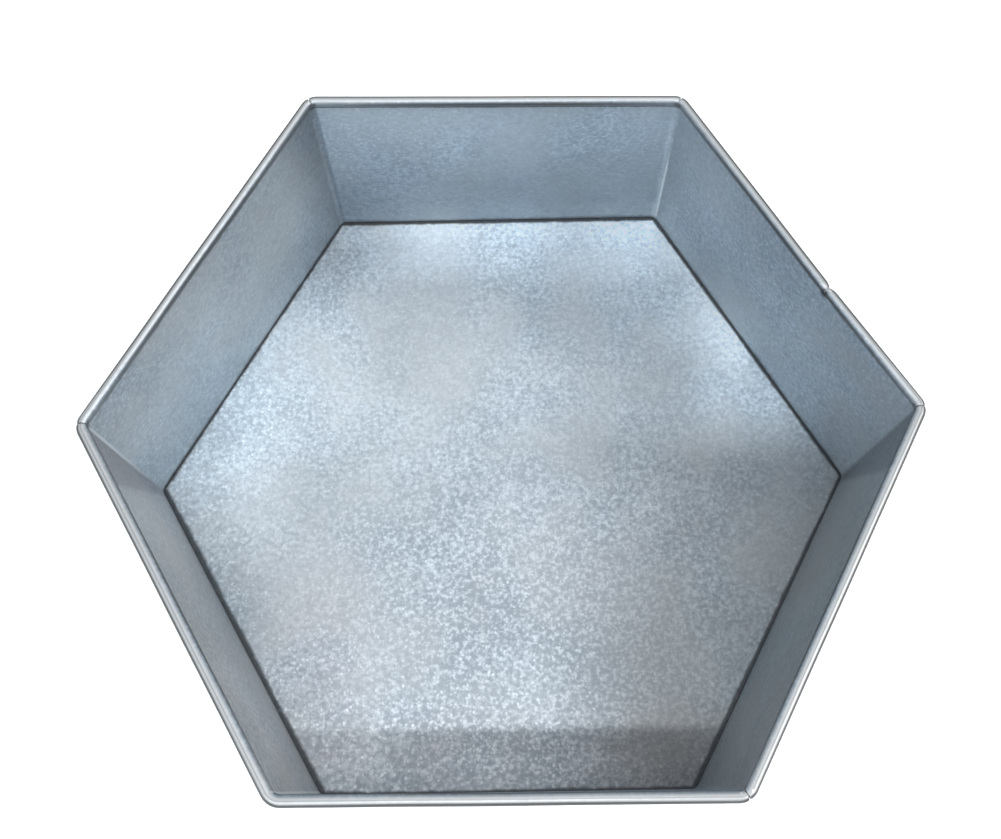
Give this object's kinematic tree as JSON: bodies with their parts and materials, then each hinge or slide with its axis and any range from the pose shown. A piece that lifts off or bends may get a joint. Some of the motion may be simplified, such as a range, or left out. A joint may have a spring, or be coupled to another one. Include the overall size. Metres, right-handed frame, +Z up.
{
  "type": "hexagonal sheet metal pan",
  "caption": "Open, shallow hexagonal pan of galvanised sheet steel with straight walls, a wire-stiffened rolled rim and a flat folded-on base.",
  "frame": {"origin": "on the table under the middle of the pan", "axes": "+Z up out of the open mouth, +X towards the right-hand corner, +Y towards the back wall"},
  "size_m": [0.2412, 0.2108, 0.0762],
  "materials": {
    "wall_steel": "galvanised, fine dull spangle, satin",
    "base_steel": "galvanised, fine bright sparkling grain, satin",
    "wire": "drawn, zinc coated",
    "solder": "dull, flowed by hand"
  },
  "bodies": {
    "root": {"wall_band": "wall_steel", "base_plate": "base_steel", "rim_wire": "wire", "side_seam_solder": "solder"}
  },
  "joints": []
}
